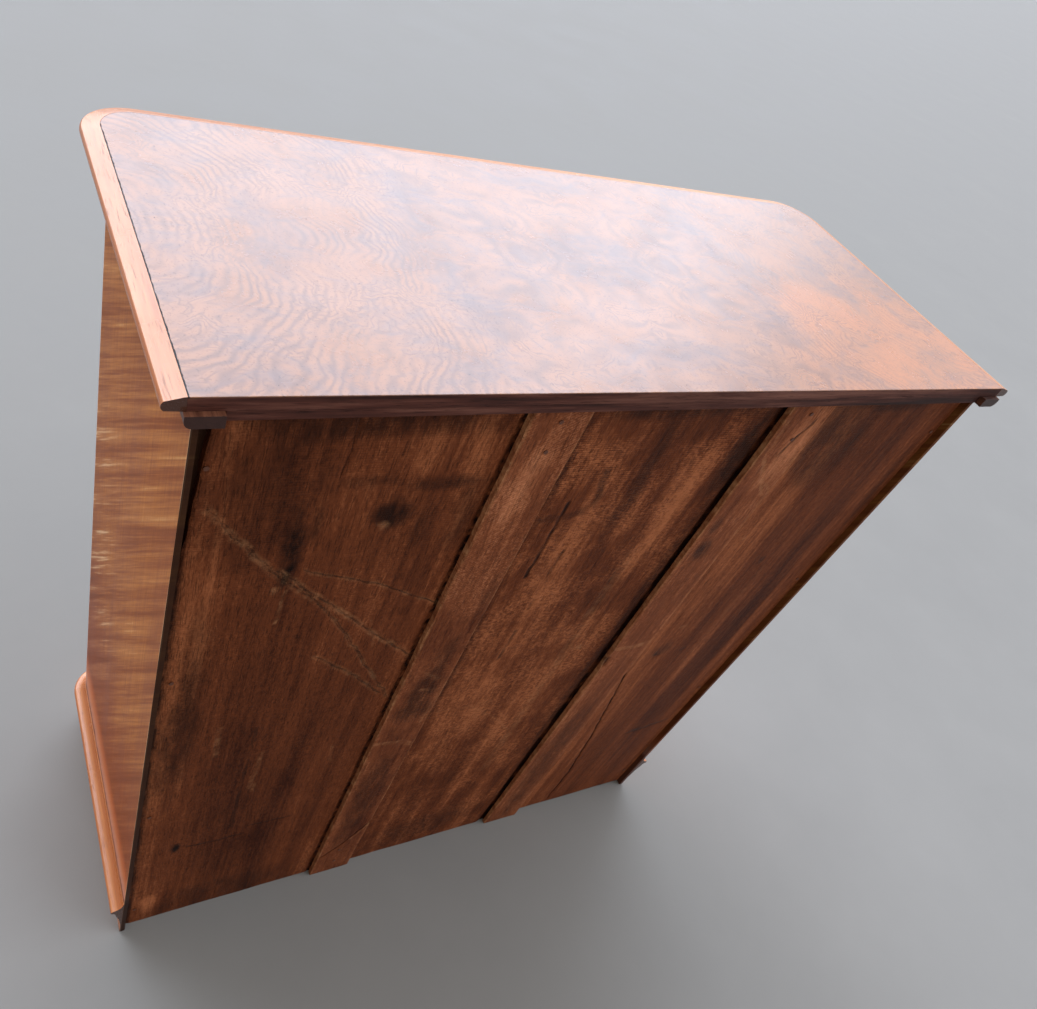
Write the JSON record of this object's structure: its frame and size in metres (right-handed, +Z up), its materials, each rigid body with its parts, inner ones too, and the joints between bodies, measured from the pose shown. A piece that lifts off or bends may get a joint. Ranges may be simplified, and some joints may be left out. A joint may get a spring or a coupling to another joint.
{
  "type": "album bookcase",
  "caption": "Low open walnut bookcase for albums, with loose shelves on toothed racks, rounded front corners, a moulded top and base, and a panelled back.",
  "frame": {"origin": "on the floor under the middle of the overall box", "axes": "+Z up, +Y out of the back of the case, +X towards the end that is on the left when the case is seen from the back"},
  "size_m": [0.924, 0.404, 0.95],
  "materials": {
    "burr_walnut": "gloss",
    "solid_walnut": "gloss",
    "side_walnut": "satin",
    "stained_back": "matt",
    "stained_upright": "matt",
    "ground_pine": "matt",
    "inside_wood": "satin",
    "block_pine": "matt",
    "nail_iron": "matt"
  },
  "bodies": {
    "case": {"back_muntin_left": "stained_upright", "back_muntin_right": "stained_upright", "back_nails": "nail_iron", "back_panel_centre": "stained_back", "back_panel_left": "stained_back", "back_panel_right": "stained_back", "back_rail_bottom": "inside_wood", "back_rail_top": "inside_wood", "base_moulding_front": "solid_walnut", "base_moulding_left": "solid_walnut", "base_moulding_right": "solid_walnut", "bottom_board": "inside_wood", "cleat_lower_left": "inside_wood", "cleat_lower_right": "inside_wood", "cleat_upper_left": "inside_wood", "cleat_upper_right": "inside_wood", "corner_post_left": "side_walnut", "corner_post_right": "side_walnut", "cornice_front": "solid_walnut", "cornice_left": "solid_walnut", "cornice_rear_rail": "ground_pine", "cornice_right": "solid_walnut", "frieze_rail": "side_walnut", "glue_blocks": "block_pine", "plinth_rail": "side_walnut", "shelf_rack_front_left": "inside_wood", "shelf_rack_front_right": "inside_wood", "shelf_rack_rear_left": "inside_wood", "shelf_rack_rear_right": "inside_wood", "side_left": "side_walnut", "side_right": "side_walnut", "top_board": "ground_pine", "top_edging_front": "solid_walnut", "top_edging_left": "solid_walnut", "top_edging_right": "solid_walnut", "top_veneer": "burr_walnut"},
    "shelf_lower": {"shelf_lower_board": "inside_wood", "shelf_lower_edge": "solid_walnut"},
    "shelf_upper": {"shelf_upper_board": "inside_wood", "shelf_upper_edge": "solid_walnut"}
  },
  "joints": [
    {"name": "shelf_lower_slide", "type": "slide", "parent": "case", "child": "shelf_lower", "axis": [0, -1, 0], "range_m": [0, 0.14]},
    {"name": "shelf_upper_slide", "type": "slide", "parent": "case", "child": "shelf_upper", "axis": [0, -1, 0], "range_m": [0, 0.14]}
  ]
}
